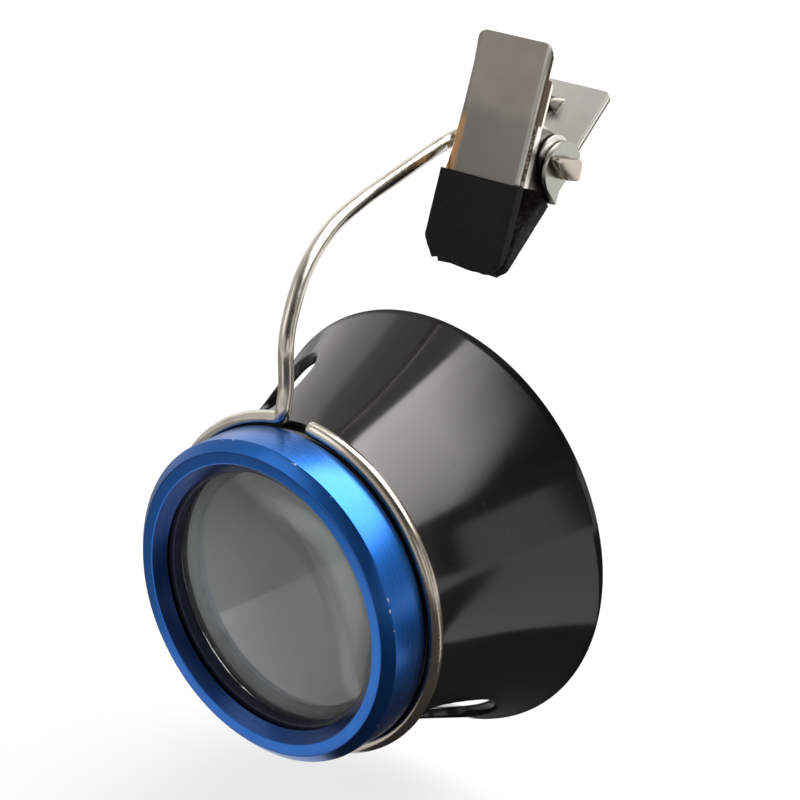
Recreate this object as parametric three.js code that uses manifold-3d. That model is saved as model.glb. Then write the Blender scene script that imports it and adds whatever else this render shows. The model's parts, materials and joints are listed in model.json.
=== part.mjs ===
// Clip-on loupe: a lens in a blue bezel and a black eyecup, held by a bent wire
// that is also the hinge pin of a sprung spectacle clip.
// Millimetres and degrees. +X is right, -Y is the lens front, +Y is the eye side, +Z is up.
// The origin is the line where the jaws of the clip meet.

import * as THREE from 'three';
import { mergeVertices } from 'three/addons/utils/BufferGeometryUtils.js';
import Module from 'manifold-3d';

const wasm = await Module();
wasm.setup();

// Clearances
const seatGap = 0.3;
const pinGap = 0.15;
const pocketGap = 0.15;
const overrun = 1;

// Wire that makes the ring, the arm and the hinge pin
const wireDiameter = 1.6;
const ringWireRadius = 17.7;
const ringFreeEndAngle = 6.2;
const armOffset = 2;
const armClipOffset = 7.9;
const ringBend = 1.1;
const pinBend = 1.6;
const pinApproach = 2.2;
const pinRise = 0.8;
const ringReach = 34;
const axisDrop = 37.6;
const loupeShift = 0.2;

// Clip
const plateThickness = 0.5;
const pinToTip = 14.45;
const pinBearing = 39.3;
const frontSplay = 17.46;
const rearSplay = 12.54;
const frontWidth = 9.7;
const frontHandle = 11.23;
const frontJaw = 9.4;
const frontEarDrop = 3.67;
const frontEarRadius = 2.3;
const flangeDepth = 1.75;
const flangeTop = 7.6;
const earShoulder = 3;
const frontCornerRadius = 1.3;
const rearWidth = 10.1;
const rearEarWidth = 12.1;
const rearHandle = 10.68;
const rearJaw = 9.7;
const rearEarRadius = 3;
const rearEarSag = 0.35;
const rearEarSetback = 1.37;
const rearEarBottom = 3.7;
const rearCornerRadius = 0.9;
const jawWidth = 9.1;

// Louvre in the rear plate: a raised hood, open towards the pin, over the end of the spring's leg
const hoodWidth = 2.5;
const hoodLength = 1.8;
const hoodRise = 1.5;
const hoodWall = 0.35;
const hoodMouth = 6.8;
const hoodOffset = -1.1;
const slotLength = 0.9;

// Torsion spring
const springWire = 0.7;
const springRadius = 1.75;
const springTurns = 4;
const springLength = 5.8;
const springFrontLeg = 7.6;
const springRearLeg = 7.2;

// Flattened end of the pin, and the washers between the ears
const headWidth = 5.2;
const headDrop = 2.3;
const headTilt = 17;
const headThickness = 0.9;
const washerGap = 0.2;

// Rubber sleeves
const sleeveWall = 0.45;
const sleeveOverhang = 3.6;

// Bezel
const bezelRadius = 17.25;
const bezelChamfer = 1;
const bezelSkirt = 4.45;
const bezelFaceWidth = 1.26;
const lipDepth = 1.15;
const lipSlope = 1.15;

// Eyecup
const neckWall = 1.2;
const cupWall = 1.3;
const ringClearOfBezel = 0.15;
const flareNeckRadius = 17.2;
const rimRadius = 23;
const cupLength = 19.2;
const flarePower = 1.5;
const flareSteps = 8;
const ventLength = 14.4;
const ventWidth = 9.8;
const upperVentAngle = -41;
const lowerVentAngle = 148;
const ventShare = 0.4;
const rimRounding = 0.4;

// Lens
const lensEdge = 1.5;
const lensSag = 2.3;
const lensSteps = 6;
const retainerHeight = 1.2;
const seatLedge = 1.1;

// Facets
const roundSides = 64;
const wireSides = 8;
const wireSteps = 240;
const springSides = 5;
const springStepsPerTurn = 8;
const holeSides = 20;
const ventSides = 10;

const rad = THREE.MathUtils.degToRad;
const wireRadius = wireDiameter / 2;
const frontPitch = pinBearing - frontSplay;
const rearPitch = pinBearing + rearSplay;
const frontDepth = pinToTip * Math.sin(rad(frontSplay));
const frontTip = pinToTip * Math.cos(rad(frontSplay));
const rearDepth = pinToTip * Math.sin(rad(rearSplay));
const rearTip = pinToTip * Math.cos(rad(rearSplay));
const rearInner = rearDepth - plateThickness;
const pinPlace = new THREE.Vector3(
  0,
  pinToTip * Math.sin(rad(pinBearing)),
  pinToTip * Math.cos(rad(pinBearing)),
);
const rearEarOuter = rearEarWidth / 2;
const pinEnd = rearEarOuter + seatGap;

// Materials
const material = (color, roughness, metalness, more = {}) =>
  new THREE.MeshStandardMaterial({ color, roughness, metalness, ...more });
const blackPlastic = material(0x16171a, 0.2, 0);
const blueAnodised = material(0x1450a8, 0.32, 0.85);
const glass = material(0x9fb0ac, 0.05, 0, { transparent: true, opacity: 0.45 });
const mattBlack = material(0x101012, 0.6, 0);
const brightWire = material(0xc9c3b6, 0.22, 1);
const steelSheet = material(0x9b958c, 0.34, 1);
const springSteel = material(0xa8a49c, 0.3, 1);
const rubber = material(0x1b1a19, 0.85, 0);

// Solid helpers
function toManifold(geometry) {
  const bare = geometry.clone();
  bare.deleteAttribute('normal');
  bare.deleteAttribute('uv');
  const merged = mergeVertices(bare);
  const mesh = new wasm.Mesh({
    numProp: 3,
    vertProperties: new Float32Array(merged.attributes.position.array),
    triVerts: new Uint32Array(merged.index.array),
  });
  return new wasm.Manifold(mesh);
}

function toGeometry(manifold) {
  const mesh = manifold.getMesh();
  const geometry = new THREE.BufferGeometry();
  geometry.setAttribute('position', new THREE.BufferAttribute(new Float32Array(mesh.vertProperties), 3));
  geometry.setIndex(new THREE.BufferAttribute(new Uint32Array(mesh.triVerts), 1));
  geometry.computeVertexNormals();
  return geometry;
}

function joined(...geometries) {
  const all = geometries.map(toManifold);
  return toGeometry(all.reduce((sum, next) => sum.add(next)));
}

function cut(geometry, ...tools) {
  const result = tools.map(toManifold).reduce((body, tool) => body.subtract(tool), toManifold(geometry));
  return toGeometry(result);
}

function turned(points, sides = roundSides) {
  return new THREE.LatheGeometry(points.map(([r, y]) => new THREE.Vector2(r, y)), sides);
}

function box(low, high) {
  const size = high.map((value, axis) => value - low[axis]);
  const geometry = new THREE.BoxGeometry(...size);
  return geometry.translate(...low.map((value, axis) => value + size[axis] / 2));
}

function rodAlongX(radius, from, to, sides = holeSides) {
  const geometry = new THREE.CylinderGeometry(radius, radius, to - from, sides);
  return geometry.rotateZ(Math.PI / 2).translate((from + to) / 2, 0, 0);
}

// A shape drawn in X and Z, thickened towards +Y from the face at y
function sheetFacingY(shape, y, thickness) {
  const geometry = new THREE.ExtrudeGeometry(shape, { depth: thickness, bevelEnabled: false });
  return geometry.rotateX(Math.PI / 2).translate(0, y + thickness, 0);
}

// A shape drawn in Y and Z, thickened towards +X from the face at x
function sheetFacingX(shape, x, thickness) {
  const geometry = new THREE.ExtrudeGeometry(shape, { depth: thickness, bevelEnabled: false });
  const turn = new THREE.Matrix4().makeBasis(
    new THREE.Vector3(0, 1, 0),
    new THREE.Vector3(0, 0, 1),
    new THREE.Vector3(1, 0, 0),
  );
  return geometry.applyMatrix4(turn).translate(x, 0, 0);
}

function polygon(sides, radius) {
  const points = [];
  for (let i = 0; i < sides; i += 1) {
    const angle = (2 * Math.PI * i) / sides;
    points.push(new THREE.Vector2(radius * Math.cos(angle), radius * Math.sin(angle)));
  }
  return new THREE.Shape(points);
}

function rodAlong(path, radius, sides, steps) {
  return new THREE.ExtrudeGeometry(polygon(sides, radius), { steps, extrudePath: path, bevelEnabled: false });
}

function named(name, geometry, finish) {
  const mesh = new THREE.Mesh(geometry, finish);
  mesh.name = name;
  return mesh;
}

// Bezel: chamfer, flat face, sloping inner wall and a skirt over the neck
const skirtBore = bezelRadius - neckWall;
const faceOuter = bezelRadius - bezelChamfer;
const faceInner = faceOuter - bezelFaceWidth;
const lipInner = faceInner - lipSlope;
const lipBack = lipDepth - bezelChamfer;
const bezelGeometry = turned([
  [lipInner, lipBack],
  [faceInner, -bezelChamfer],
  [faceOuter, -bezelChamfer],
  [bezelRadius, 0],
  [bezelRadius, bezelSkirt],
  [skirtBore, bezelSkirt],
  [skirtBore, lipBack],
  [lipInner, lipBack],
]);

// Eyecup: neck in the bezel, wire groove, flare and rounded rim
const neckOuter = skirtBore - seatGap;
const neckFront = lipBack + seatGap;
const neckBore = neckOuter - neckWall;
const ringPlane = bezelSkirt + ringClearOfBezel + wireRadius;
const grooveRadius = ringWireRadius - wireRadius - seatGap;
const flareStart = ringPlane + wireRadius + seatGap;
const rimPlane = flareStart + cupLength;
const retainerFront = neckFront + seatGap;
const retainerBack = retainerFront + retainerHeight;
const retainerOuter = neckBore - seatGap;
const retainerInner = lipInner - seatGap;
const lensRadius = neckBore - seatGap;
const lensSphere = (lensRadius ** 2 + lensSag ** 2) / (2 * lensSag);
const lensRise = (r) => Math.sqrt(lensSphere ** 2 - r ** 2) - (lensSphere - lensSag);
const seatBore = neckBore - seatLedge;
const lensEdgeFront = retainerBack + seatGap + lensRise(retainerInner);
const lensEdgeBack = lensEdgeFront + lensEdge;
const seatPlane = lensEdgeBack + seatGap + lensRise(seatBore);

function flareRadius(share) {
  return flareNeckRadius + (rimRadius - flareNeckRadius) * share ** flarePower;
}

function eyecupProfile() {
  const outer = [];
  const inner = [];
  for (let i = 0; i <= flareSteps; i += 1) {
    const share = i / flareSteps;
    const y = flareStart + cupLength * share;
    if (i < flareSteps) {
      outer.push([flareRadius(share), y]);
    }
    inner.push([flareRadius(share) - cupWall, y]);
  }
  outer.push([rimRadius, rimPlane - rimRounding], [rimRadius - rimRounding, rimPlane]);
  return [
    [neckBore, neckFront],
    [neckOuter, neckFront],
    [neckOuter, bezelSkirt + seatGap / 2],
    [grooveRadius, bezelSkirt + seatGap / 2],
    [grooveRadius, flareStart],
    ...outer,
    ...inner.reverse(),
    [seatBore, seatPlane],
    [neckBore, seatPlane],
    [neckBore, neckFront],
  ];
}

// A vent is an oval drilled through the wall, square to the optical axis
function ventTool(angle) {
  const middle = flareStart + cupLength * ventShare;
  const flat = (ventLength - ventWidth) / 2;
  const shape = new THREE.Shape();
  shape.absarc(0, middle + flat, ventWidth / 2, 0, Math.PI, false);
  shape.absarc(0, middle - flat, ventWidth / 2, Math.PI, 2 * Math.PI, false);
  shape.closePath();
  const depth = rimRadius + overrun;
  const tool = new THREE.ExtrudeGeometry(shape, { depth, bevelEnabled: false, curveSegments: ventSides });
  return tool.rotateY(rad(angle));
}

const eyecupGeometry = cut(turned(eyecupProfile()), ventTool(upperVentAngle), ventTool(lowerVentAngle));

// Lens: two equal spherical faces and a plain edge
function lensProfile() {
  const front = [];
  const back = [];
  for (let i = 0; i <= lensSteps; i += 1) {
    const r = (lensRadius * i) / lensSteps;
    front.push([r, lensEdgeFront - lensRise(r)]);
    back.push([r, lensEdgeBack + lensRise(r)]);
  }
  return [...front, ...back.reverse()];
}

// Black ring that locks the lens in the neck
const retainerGeometry = turned([
  [retainerInner, retainerFront],
  [retainerOuter, retainerFront],
  [retainerOuter, retainerBack],
  [retainerInner, retainerBack],
  [retainerInner, retainerFront],
]);

// Wire: the route is drawn from the centre of the ring, with the ring in the XZ plane
class RingArc extends THREE.Curve {
  constructor(radius, from, to) {
    super();
    Object.assign(this, { radius, from, to });
  }

  getPoint(share, target = new THREE.Vector3()) {
    const angle = this.from + (this.to - this.from) * share;
    return target.set(this.radius * Math.sin(angle), 0, this.radius * Math.cos(angle));
  }
}

// Shares of the arm's reach, its rise from the ring to the pin and its lean to the side
const armShares = [
  [0.004, 0.05, 0],
  [0.018, 0.167, 0],
  [0.022, 0.365, 0],
  [0.055, 0.48, 0.09],
  [0.16, 0.678, 0.285],
  [0.31, 0.821, 0.465],
  [0.48, 0.884, 0.62],
  [0.64, 0.913, 0.75],
  [0.77, 0.936, 0.85],
  [0.87, 0.954, 0.93],
];

function wirePath() {
  const path = new THREE.CurvePath();
  const rise = axisDrop - ringWireRadius;
  const arm = armShares.map(([reach, height, lean]) => new THREE.Vector3(
    -armOffset - (armClipOffset - armOffset) * lean,
    ringReach * reach,
    ringWireRadius + rise * height,
  ));
  const ringEnd = 2 * Math.PI - Math.asin((armOffset + ringBend) / ringWireRadius);
  const ring = new RingArc(ringWireRadius, rad(ringFreeEndAngle), ringEnd);
  const ringStop = ring.getPoint(1);
  const corner = new THREE.Vector3(-armOffset, 0, ringStop.z + ringBend * Math.tan(2 * Math.PI - ringEnd));
  path.add(ring);
  path.add(new THREE.QuadraticBezierCurve3(ringStop, corner, arm[0]));
  const beforePin = new THREE.Vector3(-armClipOffset, ringReach - pinApproach, axisDrop - pinRise);
  path.add(new THREE.CatmullRomCurve3([...arm, beforePin]));
  const alongArm = new THREE.Vector3(-armClipOffset, ringReach - pinApproach / 3, axisDrop - pinRise);
  const alongPin = new THREE.Vector3(-armClipOffset + pinBend / 3, ringReach, axisDrop);
  const pinStart = new THREE.Vector3(-armClipOffset + pinBend, ringReach, axisDrop);
  path.add(new THREE.CubicBezierCurve3(beforePin, alongArm, alongPin, pinStart));
  const pinStop = new THREE.Vector3(loupeShift + pinEnd + headThickness / 3, ringReach, axisDrop);
  path.add(new THREE.LineCurve3(pinStart, pinStop));
  return path;
}

// The end of the pin is hammered flat: shares of the head's width and drop, with one corner cut off
const headShares = [
  [-0.46, -0.13],
  [0.4, -0.13],
  [0.5, 0.1],
  [0.5, 0.87],
  [0, 0.87],
  [-0.3, 0.3],
];

function pinHead() {
  const shape = new THREE.Shape(headShares.map(([across, down]) => (
    new THREE.Vector2(headWidth * across, -headDrop * down)
  )));
  const head = sheetFacingX(shape, loupeShift + pinEnd, headThickness);
  return head.rotateX(-rad(headTilt)).translate(0, ringReach, axisDrop);
}

const wireGeometry = joined(rodAlong(wirePath(), wireRadius, wireSides, wireSteps), pinHead());

// Washers between the ears, one on each side
const pinHole = rodAlongX(wireRadius + pinGap, -rearEarWidth, rearEarWidth);
const frontOuter = frontWidth / 2;
const washerFrom = frontOuter + washerGap;
const washerTo = rearEarOuter - plateThickness - washerGap;
const washerRadius = rearInner - washerGap;

function washer(side) {
  const ends = [side * washerFrom, side * washerTo].sort((a, b) => a - b);
  return cut(rodAlongX(washerRadius, ...ends, roundSides / 2), pinHole);
}

// Both plates are drawn about the pin axis with the plate upright. This is the outline of either one.
function plateFace(width, top, corner, bottom, jawTop) {
  const shape = new THREE.Shape();
  const half = width / 2;
  const narrow = jawWidth / 2;
  const cornerX = half - corner;
  const cornerZ = top - corner;
  shape.moveTo(-narrow, bottom);
  shape.lineTo(narrow, bottom);
  shape.lineTo(narrow, jawTop);
  shape.lineTo(half, jawTop);
  shape.lineTo(half, cornerZ);
  shape.absarc(cornerX, cornerZ, corner, 0, Math.PI / 2, false);
  shape.absarc(-cornerX, cornerZ, corner, Math.PI / 2, Math.PI, false);
  shape.lineTo(-half, jawTop);
  shape.lineTo(-narrow, jawTop);
  shape.closePath();
  return shape;
}

// Front plate
function frontEar() {
  const face = -frontDepth;
  const edge = face + flangeDepth;
  const slope = rad(frontSplay + rearSplay);
  const sideDrop = frontEarDrop - frontEarRadius * Math.sin(slope);
  const corner = frontEarRadius * Math.cos(slope) - sideDrop * Math.tan(slope);
  const shape = new THREE.Shape();
  shape.moveTo(face, -frontEarDrop);
  shape.lineTo(corner, -frontEarDrop);
  shape.absarc(0, 0, frontEarRadius, -slope, Math.PI / 2, false);
  shape.lineTo(edge, earShoulder);
  shape.lineTo(edge, flangeTop - flangeDepth / 2);
  shape.lineTo(edge - flangeDepth / 2, flangeTop);
  shape.lineTo(face, flangeTop);
  shape.closePath();
  return shape;
}

const frontFace = plateFace(frontWidth, frontHandle, frontCornerRadius, -frontJaw, -frontEarDrop);
const frontPlateGeometry = cut(
  joined(
    sheetFacingY(frontFace, -frontDepth, plateThickness),
    sheetFacingX(frontEar(), frontOuter - plateThickness, plateThickness),
    sheetFacingX(frontEar(), -frontOuter, plateThickness),
  ),
  pinHole,
);

// Rear plate
const earBulge = Math.sqrt(rearEarRadius ** 2 - (rearDepth - rearEarSetback) ** 2);
const rearEarTop = earBulge - rearEarSag;

function rearEar() {
  const shape = new THREE.Shape();
  const topAngle = Math.asin(earBulge / rearEarRadius);
  shape.moveTo(rearDepth, -rearEarBottom);
  shape.lineTo(rearDepth, rearEarTop);
  shape.absarc(rearEarSetback, -rearEarSag, rearEarRadius, topAngle, 3 * Math.PI / 2, false);
  shape.closePath();
  return shape;
}

function rearFace() {
  const shape = plateFace(rearWidth, rearHandle, rearCornerRadius, -rearJaw, -rearEarBottom);
  return sheetFacingY(shape, rearDepth - plateThickness, plateThickness);
}

// Side view of the hood, which slopes back to the plate above its mouth
function hoodSide(wall) {
  const root = rearInner + plateThickness / 2;
  const crown = rearInner - hoodRise + wall;
  const back = hoodMouth + hoodLength;
  const shape = new THREE.Shape();
  shape.moveTo(root, hoodMouth - wall);
  shape.lineTo(root, back - wall);
  shape.lineTo(rearInner - wall / 2, back - wall);
  shape.lineTo(crown, back - hoodRise / 2 - wall);
  shape.lineTo(crown, hoodMouth - wall);
  shape.closePath();
  return shape;
}

const hoodLeft = hoodOffset - hoodWidth / 2;
const hoodRight = hoodOffset + hoodWidth / 2;
const hoodOuter = sheetFacingX(hoodSide(0), hoodLeft, hoodWidth);
const hoodInside = sheetFacingX(hoodSide(hoodWall), hoodLeft + hoodWall, hoodWidth - 2 * hoodWall);
const hoodSlot = box(
  [hoodLeft + hoodWall, rearInner - overrun, hoodMouth],
  [hoodRight - hoodWall, rearDepth + overrun, hoodMouth + slotLength],
);

const rearPlateGeometry = cut(
  joined(
    rearFace(),
    box([-rearEarOuter, rearInner, -rearEarBottom], [rearEarOuter, rearDepth, rearEarTop]),
    sheetFacingX(rearEar(), rearEarOuter - plateThickness, plateThickness),
    sheetFacingX(rearEar(), -rearEarOuter, plateThickness),
    hoodOuter,
  ),
  pinHole,
  hoodInside,
  hoodSlot,
);

// A sleeve is a closed rubber pocket over the jaw, pressed to a wedge where the jaws meet
function sleeve(faceY, inward, earBottom, jawEnd, tipZ) {
  const topZ = -earBottom - seatGap;
  const half = jawWidth / 2 + pocketGap + sleeveWall;
  const skin = pocketGap + sleeveWall;
  const near = faceY - inward * skin;
  const far = faceY + inward * (plateThickness + skin);
  const end = -jawEnd - sleeveOverhang;
  const body = box([-half, Math.min(near, far), end], [half, Math.max(near, far), topZ]);
  const pocketNear = faceY - inward * pocketGap;
  const pocketFar = faceY + inward * (plateThickness + pocketGap);
  const pocket = box(
    [-jawWidth / 2 - pocketGap, Math.min(pocketNear, pocketFar), -jawEnd - pocketGap],
    [jawWidth / 2 + pocketGap, Math.max(pocketNear, pocketFar), topZ + overrun],
  );
  const wedgeDepth = 2 * pinToTip;
  const wedge = box([-half - overrun, 0, -wedgeDepth], [half + overrun, wedgeDepth, wedgeDepth]);
  if (inward < 0) {
    wedge.rotateZ(Math.PI);
  }
  const lean = rad((frontSplay + rearSplay) / 2);
  wedge.translate(0, -inward * pocketGap, 0);
  wedge.rotateX(-inward * lean);
  wedge.translate(0, faceY, -tipZ);
  return cut(body, pocket, wedge);
}

// Torsion spring: one helix on the pin with a leg to each handle. A leg leaves the coil as a tangent
// and drifts sideways to its end, ever faster, so that it stays clear of the next curl.
class TorsionSpring extends THREE.Curve {
  constructor(frontEnd, rearEnd) {
    super();
    this.frontEnd = frontEnd;
    this.rearEnd = rearEnd;
    this.frontLeg = this.tangent(frontEnd, 1, springLength / 2);
    this.rearLeg = this.tangent(rearEnd, -1, -springLength / 2);
    const full = 2 * Math.PI;
    const gain = (this.rearLeg.angle - this.frontLeg.angle + 2 * full) % full;
    this.sweep = full * springTurns + gain;
    this.coil = Math.hypot(this.sweep * springRadius, springLength);
    this.total = this.coil + this.frontLeg.length + this.rearLeg.length;
  }

  // The point where a line from the leg's end touches the coil
  tangent([x, y, z], side, coilEnd) {
    const reach = Math.hypot(y, z);
    const angle = Math.atan2(z, y) + side * Math.acos(springRadius / reach);
    const touch = [coilEnd, springRadius * Math.cos(angle), springRadius * Math.sin(angle)];
    return { angle, touch, length: Math.hypot(x - touch[0], y - touch[1], z - touch[2]) };
  }

  getPoint(share, target = new THREE.Vector3()) {
    const along = share * this.total;
    const onLeg = (from, to, t) => target.set(
      from[0] + (to[0] - from[0]) * t ** 2,
      from[1] + (to[1] - from[1]) * t,
      from[2] + (to[2] - from[2]) * t,
    );
    if (along < this.frontLeg.length) {
      return onLeg(this.frontLeg.touch, this.frontEnd, 1 - along / this.frontLeg.length);
    }
    if (along > this.total - this.rearLeg.length) {
      return onLeg(this.rearLeg.touch, this.rearEnd, 1 - (this.total - along) / this.rearLeg.length);
    }
    const turnShare = (along - this.frontLeg.length) / this.coil;
    const angle = this.frontLeg.angle + this.sweep * turnShare;
    const x = springLength * (1 / 2 - turnShare);
    return target.set(x, springRadius * Math.cos(angle), springRadius * Math.sin(angle));
  }
}

// A point beside a plate, given as depth and height from the pin in the plate's own upright frame
function besidePlate(x, depth, height, pitch) {
  const lean = rad(pitch);
  return [
    x,
    depth * Math.cos(lean) + height * Math.sin(lean),
    -depth * Math.sin(lean) + height * Math.cos(lean),
  ];
}

const legStandoff = springWire / 2 + seatGap;
const springPath = new TorsionSpring(
  besidePlate(springLength / 2, plateThickness - frontDepth + legStandoff, springFrontLeg, frontPitch),
  besidePlate(hoodOffset, rearInner - legStandoff, springRearLeg, rearPitch),
);
const springSteps = Math.round(
  springStepsPerTurn * springPath.total / Math.hypot(2 * Math.PI * springRadius, springLength / springTurns),
);
const springGeometry = rodAlong(springPath, springWire / 2, springSides, springSteps);

// The least gap between neighbouring curls
function leastCurlGap() {
  const samples = springSteps * springSides;
  const points = springPath.getSpacedPoints(samples);
  const away = Math.ceil((samples * Math.PI * springRadius) / springPath.total);
  let least = Infinity;
  for (let i = 0; i < points.length; i += 1) {
    for (let j = i + away; j < points.length; j += 1) {
      least = Math.min(least, points[i].distanceTo(points[j]));
    }
  }
  return least - springWire;
}
console.log(`least gap between spring curls ${leastCurlGap().toFixed(2)} mm`);

// Assembly
const loupe = new THREE.Group();
loupe.position.set(-loupeShift, pinPlace.y - ringReach - ringPlane, pinPlace.z - axisDrop);
loupe.add(named('eyecup', eyecupGeometry, blackPlastic));
loupe.add(named('bezel_ring', bezelGeometry, blueAnodised));
loupe.add(named('lens', turned(lensProfile()), glass));
loupe.add(named('lens_retaining_ring', retainerGeometry, mattBlack));

const wire = new THREE.Group();
wire.position.set(-loupeShift, pinPlace.y - ringReach, pinPlace.z - axisDrop);
wire.add(named('wire_frame', wireGeometry, brightWire));

const hinge = new THREE.Group();
hinge.position.copy(pinPlace);
hinge.add(named('hinge_washer_right', washer(1), steelSheet));
hinge.add(named('hinge_washer_left', washer(-1), steelSheet));
hinge.add(named('torsion_spring', springGeometry, springSteel));

const front = new THREE.Group();
front.position.copy(pinPlace);
front.rotation.x = -rad(frontPitch);
front.add(named('front_clip_plate', frontPlateGeometry, steelSheet));
const frontSleeve = sleeve(-frontDepth, 1, frontEarDrop, frontJaw, frontTip);
front.add(named('front_jaw_sleeve', frontSleeve, rubber));

const rear = new THREE.Group();
rear.position.copy(pinPlace);
rear.rotation.x = -rad(rearPitch);
rear.add(named('rear_clip_plate', rearPlateGeometry, steelSheet));
const rearSleeve = sleeve(rearDepth, -1, rearEarBottom, rearJaw, rearTip);
rear.add(named('rear_jaw_sleeve', rearSleeve, rubber));

const clipOnLoupe = new THREE.Group();
clipOnLoupe.add(loupe, wire, hinge, front, rear);

export default clipOnLoupe;
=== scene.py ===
"""Clip-on loupe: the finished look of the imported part, with its studio. Metres, in the part's own frame."""

import json
from math import acos, asin, atan2, copysign, cos, hypot, inf, pi, radians, sin, sqrt, tan

import bmesh
import bpy
from mathutils import Matrix, Vector, noise
from mathutils.geometry import delaunay_2d_cdt, intersect_line_line_2d

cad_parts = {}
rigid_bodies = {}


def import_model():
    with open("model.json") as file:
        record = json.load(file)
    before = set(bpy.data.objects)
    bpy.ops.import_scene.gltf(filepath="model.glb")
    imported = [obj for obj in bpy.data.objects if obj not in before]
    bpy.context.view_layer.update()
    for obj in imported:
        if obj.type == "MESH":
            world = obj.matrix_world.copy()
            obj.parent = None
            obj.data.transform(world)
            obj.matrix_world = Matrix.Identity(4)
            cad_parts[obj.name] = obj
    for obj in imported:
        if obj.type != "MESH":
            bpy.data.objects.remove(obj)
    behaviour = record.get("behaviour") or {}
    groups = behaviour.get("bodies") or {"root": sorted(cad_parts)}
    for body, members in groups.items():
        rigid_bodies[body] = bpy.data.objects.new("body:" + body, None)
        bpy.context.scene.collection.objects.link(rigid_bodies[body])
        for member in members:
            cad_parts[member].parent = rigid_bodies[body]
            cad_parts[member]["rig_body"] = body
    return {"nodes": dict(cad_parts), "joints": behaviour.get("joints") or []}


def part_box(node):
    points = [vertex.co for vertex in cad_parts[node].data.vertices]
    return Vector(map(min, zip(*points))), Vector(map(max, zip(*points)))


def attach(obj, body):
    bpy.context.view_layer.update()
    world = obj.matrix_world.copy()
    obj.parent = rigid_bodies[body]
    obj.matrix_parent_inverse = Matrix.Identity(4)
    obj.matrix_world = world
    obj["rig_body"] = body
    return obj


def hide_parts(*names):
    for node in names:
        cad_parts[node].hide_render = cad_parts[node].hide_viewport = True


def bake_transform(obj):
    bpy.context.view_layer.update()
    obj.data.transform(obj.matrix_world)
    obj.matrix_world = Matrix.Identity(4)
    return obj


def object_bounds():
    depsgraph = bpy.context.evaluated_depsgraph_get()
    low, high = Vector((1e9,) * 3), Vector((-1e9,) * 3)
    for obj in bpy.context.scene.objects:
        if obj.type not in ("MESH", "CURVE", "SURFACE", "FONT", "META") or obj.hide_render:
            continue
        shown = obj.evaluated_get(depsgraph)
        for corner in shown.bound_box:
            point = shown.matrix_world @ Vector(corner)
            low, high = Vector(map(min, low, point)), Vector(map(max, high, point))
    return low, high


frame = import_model()
cad_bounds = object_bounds()

MM = 0.001
PIN = next(Vector(joint["pos_m"]) for joint in frame["joints"] if joint["name"] == "clip_squeeze")
bezel_low, bezel_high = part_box("bezel_ring")
cup_low, cup_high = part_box("eyecup")

# Bezel and neck. Depths along the optical axis are counted from the bezel's front edge.
BEZEL_RADIUS = (bezel_high.x - bezel_low.x) / 2
BEZEL_CHAMFER = 1 * MM
BEZEL_FACE = 1.26 * MM
LIP_DEPTH = 1.15 * MM
LIP_SLOPE = 1.15 * MM
NECK_WALL = 1.2 * MM
SEAT_GAP = 0.3 * MM
SKIRT_BORE = BEZEL_RADIUS - NECK_WALL
AXIS_ACROSS = (bezel_low.x + bezel_high.x) / 2
AXIS_HEIGHT = (bezel_low.z + bezel_high.z) / 2
FRONT_EDGE = bezel_low.y + BEZEL_CHAMFER
SKIRT_END = bezel_high.y - FRONT_EDGE
FACE_OUTER = BEZEL_RADIUS - BEZEL_CHAMFER
FACE_INNER = FACE_OUTER - BEZEL_FACE
LIP_INNER = FACE_INNER - LIP_SLOPE
LIP_BACK = LIP_DEPTH - BEZEL_CHAMFER

# Wire
WIRE_RADIUS = 0.8 * MM
WIRE_TIP_SHARE = 0.7
RING_RADIUS = 17.7 * MM
RING_FREE_END = radians(6.2)
RING_CLEAR = 0.15 * MM
RING_PLANE = SKIRT_END + RING_CLEAR + WIRE_RADIUS
ARM_OFFSET = 2 * MM
ARM_CLIP_OFFSET = 7.9 * MM
RING_BEND = 1.1 * MM
PIN_BEND = 1.6 * MM
PIN_APPROACH = 2.2 * MM
PIN_RISE = 0.8 * MM
RING_REACH = 34 * MM
AXIS_DROP = 37.6 * MM
ARM_SHARES = (
    (0.004, 0.05, 0),
    (0.018, 0.167, 0),
    (0.022, 0.365, 0),
    (0.055, 0.48, 0.09),
    (0.16, 0.678, 0.285),
    (0.31, 0.821, 0.465),
    (0.48, 0.884, 0.62),
    (0.64, 0.913, 0.75),
    (0.77, 0.936, 0.85),
    (0.87, 0.954, 0.93),
)

# Eyecup
NECK_OUTER = SKIRT_BORE - SEAT_GAP
NECK_BORE = NECK_OUTER - NECK_WALL
NECK_FRONT = LIP_BACK + SEAT_GAP
GROOVE_RADIUS = RING_RADIUS - WIRE_RADIUS - SEAT_GAP
FLARE_START = RING_PLANE + WIRE_RADIUS + SEAT_GAP
FLARE_NECK = 17.2 * MM
RIM_RADIUS = (cup_high.x - cup_low.x) / 2
RIM_PLANE = cup_high.y - FRONT_EDGE
CUP_LENGTH = RIM_PLANE - FLARE_START
CUP_WALL = 1.3 * MM
FLARE_POWER = 1.5
RIM_FILLET = 0.45 * MM
VENT_LENGTH = 14.4 * MM
VENT_WIDTH = 9.8 * MM
VENT_SHARE = 0.4
VENT_ANGLES = (radians(-41), radians(148))
VENT_FILLET = 0.35 * MM

# Lens and its retaining ring
LENS_EDGE = 1.5 * MM
LENS_SAG = 2.3 * MM
RETAINER_HEIGHT = 1.2 * MM
SEAT_LEDGE = 1.1 * MM
RETAINER_INNER = LIP_INNER - SEAT_GAP
LENS_RADIUS = NECK_BORE - SEAT_GAP
LENS_SPHERE = (LENS_RADIUS ** 2 + LENS_SAG ** 2) / (2 * LENS_SAG)

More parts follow.
